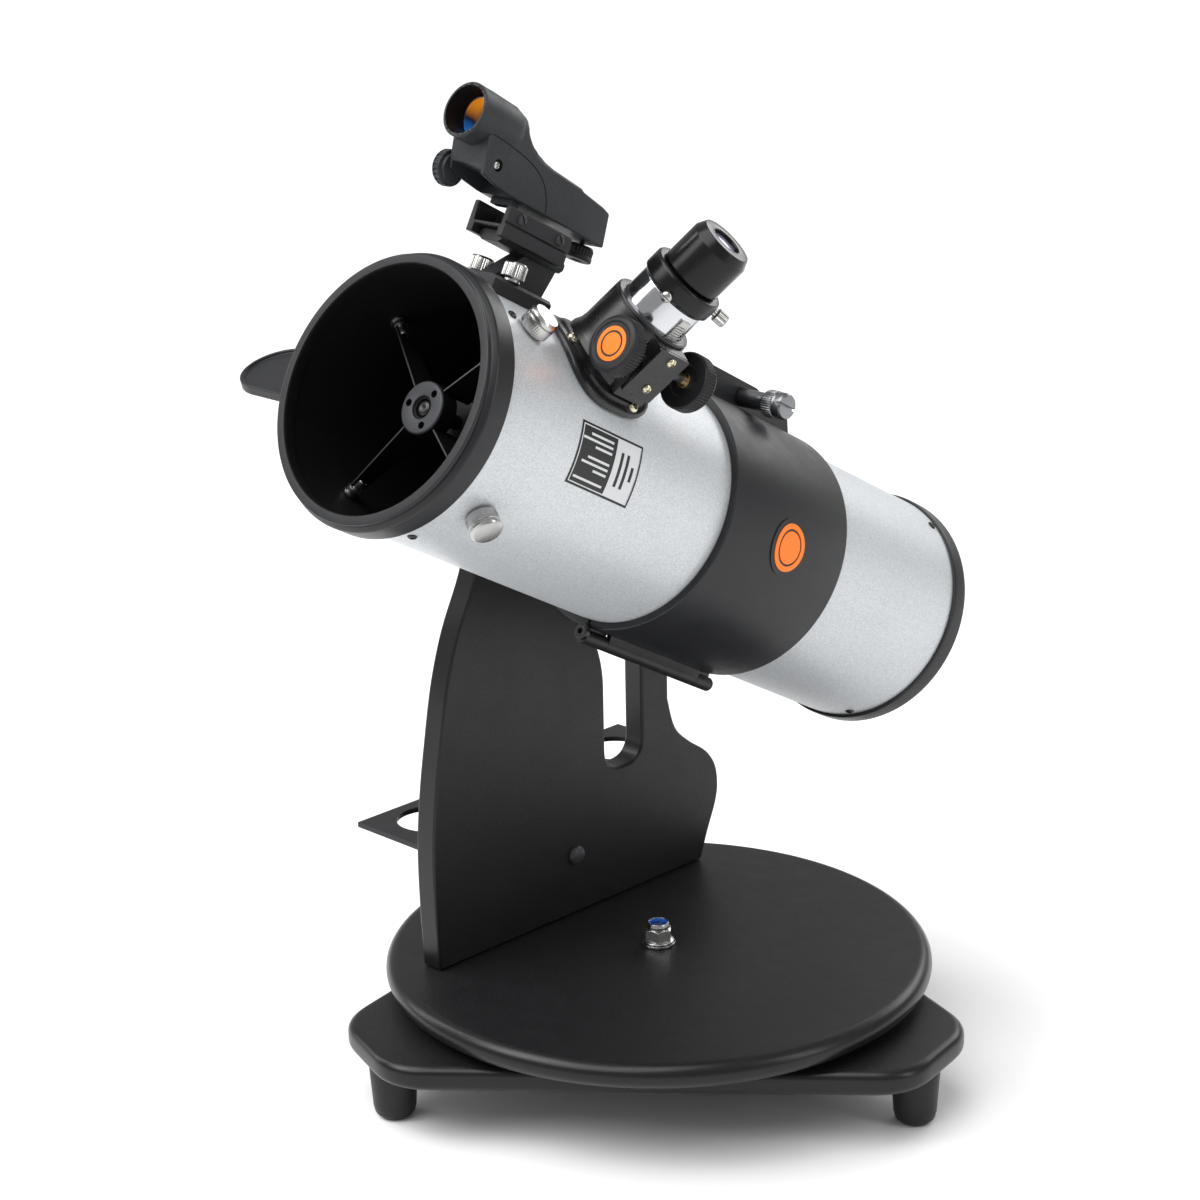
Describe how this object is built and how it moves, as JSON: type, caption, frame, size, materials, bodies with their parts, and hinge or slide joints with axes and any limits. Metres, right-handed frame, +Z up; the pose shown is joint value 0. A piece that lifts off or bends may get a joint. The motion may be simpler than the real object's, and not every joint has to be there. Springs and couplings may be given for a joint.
{
  "type": "tabletop dobsonian telescope",
  "caption": "Tabletop Dobsonian reflector: tube in a hinged cradle on a one-armed turntable base, with rack-and-pinion focuser, eyepiece and reflex finder.",
  "frame": {"origin": "on the table, under the middle of the box round the whole object", "axes": "+Z up; the tube looks towards -Y and up; the side arm is on -X and the focuser on +X"},
  "size_m": [0.3707, 0.478, 0.6301],
  "materials": {
    "board": "black textured board, satin edges",
    "silver_paint": "silver paint with a fine speckle",
    "black_plastic": "black, fine grain",
    "charcoal_paint": "charcoal, satin",
    "rubber": "matt black",
    "chrome": "polished",
    "steel": "satin",
    "white_nylon": "white nylon",
    "blue_nylon": "blue nylon",
    "mirror": "aluminised glass",
    "matt_black": "matt black",
    "coated_glass": "coated"
  },
  "bodies": {
    "base": {"ground_board": "board", "foot_front_left": "rubber", "foot_front_right": "rubber", "foot_rear": "rubber", "pivot_bolt": "steel", "azimuth_bearing": "white_nylon", "pivot_washer": "steel", "lock_nut": "chrome", "nut_insert": "blue_nylon"},
    "turntable": {"turntable": "board", "pivot_bush": "white_nylon", "side_arm": "board", "eyepiece_rack": "black_plastic", "rack_bolt": "steel", "rack_nut": "steel", "altitude_bush": "white_nylon", "altitude_washer": "white_nylon"},
    "tube": {"altitude_bolt": "steel", "cradle_far_shell": "charcoal_paint", "hinge_pin": "steel", "clamp_nut": "steel", "optical_tube": "silver_paint", "front_ring": "black_plastic", "rear_ring": "black_plastic", "primary_mirror": "mirror", "mirror_cell": "black_plastic", "collimation_screw_1": "black_plastic", "collimation_screw_2": "black_plastic", "collimation_screw_3": "black_plastic", "spider": "matt_black", "secondary_holder": "black_plastic", "secondary_mirror": "mirror", "spider_knob_upper_near": "chrome", "spider_knob_upper_far": "chrome", "spider_knob_lower_far": "chrome", "spider_knob_lower_near": "chrome", "focuser_body": "black_plastic", "pinion_cover": "black_plastic", "finder_bracket": "black_plastic", "finder_nut_near": "chrome", "finder_nut_far": "chrome", "finder_clamp": "black_plastic", "dock_bracket": "black_plastic", "dock_paddle": "black_plastic", "dock_bolt": "steel"},
    "altitude_knob": {"altitude_knob": "black_plastic"},
    "near_shell": {"cradle_near_shell": "charcoal_paint"},
    "clamp_bolt": {"clamp_bolt": "chrome"},
    "drawtube": {"drawtube": "chrome", "eyepiece_collar": "black_plastic"},
    "focus_knobs": {"pinion_shaft": "steel", "focus_knob_front": "rubber", "focus_knob_rear": "rubber"},
    "thumbscrew": {"eyepiece_thumbscrew": "chrome"},
    "eyepiece": {"eyepiece": "black_plastic", "eye_lens": "coated_glass"},
    "finder_body": {"finder_body": "black_plastic", "finder_lens": "coated_glass"},
    "finder_dial": {"finder_dial": "black_plastic"},
    "finder_wheel": {"finder_wheel": "black_plastic"}
  },
  "joints": [
    {"name": "azimuth_turn", "type": "hinge", "parent": "base", "child": "turntable", "pos_m": [-0.0158, 0.0293, 0.073], "axis": [0, 0, 1], "continuous": true},
    {"name": "altitude_tilt", "type": "hinge", "parent": "turntable", "child": "tube", "pos_m": [0.0086, 0.0334, 0.3479], "axis": [-1, 0, 0], "range_deg": [-28.9, 61]},
    {"name": "altitude_knob_turn", "type": "hinge", "parent": "tube", "child": "altitude_knob", "pos_m": [0.0086, 0.0334, 0.3479], "axis": [-1, 0, 0], "continuous": true},
    {"name": "cradle_open", "type": "hinge", "parent": "tube", "child": "near_shell", "pos_m": [0.0086, -0.00635, 0.27595], "axis": [0, 0.8753, -0.4836], "range_deg": [0, 35]},
    {"name": "clamp_bolt_turn", "type": "hinge", "parent": "near_shell", "child": "clamp_bolt", "pos_m": [0.0086, 0.07293, 0.42089], "axis": [1, 0, 0], "continuous": true},
    {"name": "focus_slide", "type": "slide", "parent": "tube", "child": "drawtube", "axis": [0.5892, 0.3907, 0.7072], "range_m": [-0.012, 0.018]},
    {"name": "focus_knob_turn", "type": "hinge", "parent": "tube", "child": "focus_knobs", "pos_m": [0.08657, -0.07601, 0.4797], "axis": [0, 0.8753, -0.4836], "range_deg": [-175, 260]},
    {"name": "thumbscrew_turn", "type": "hinge", "parent": "drawtube", "child": "thumbscrew", "pos_m": [0.08773, -0.05373, 0.52001], "axis": [0.4634, 0.5536, -0.6919], "continuous": true},
    {"name": "eyepiece_pull", "type": "slide", "parent": "drawtube", "child": "eyepiece", "axis": [0.5892, 0.3907, 0.7072], "range_m": [0, 0.03]},
    {"name": "finder_tilt", "type": "hinge", "parent": "tube", "child": "finder_body", "pos_m": [0.0086, -0.10959, 0.56057], "axis": [1, 0, 0], "range_deg": [-1, 1]},
    {"name": "finder_wheel_turn", "type": "hinge", "parent": "tube", "child": "finder_wheel", "pos_m": [0.0086, -0.05496, 0.52296], "axis": [0, 0.4836, 0.8753], "range_deg": [-360, 360]},
    {"name": "finder_dial_turn", "type": "hinge", "parent": "finder_body", "child": "finder_dial", "pos_m": [0.0086, -0.13149, 0.58295], "axis": [-1, 0, 0], "range_deg": [0, 270]}
  ],
  "couplings": [
    {"joint": "focus_knob_turn", "follows": "focus_slide", "rad_per_m": 243.9},
    {"joint": "finder_wheel_turn", "follows": "finder_tilt", "ratio": -300}
  ]
}
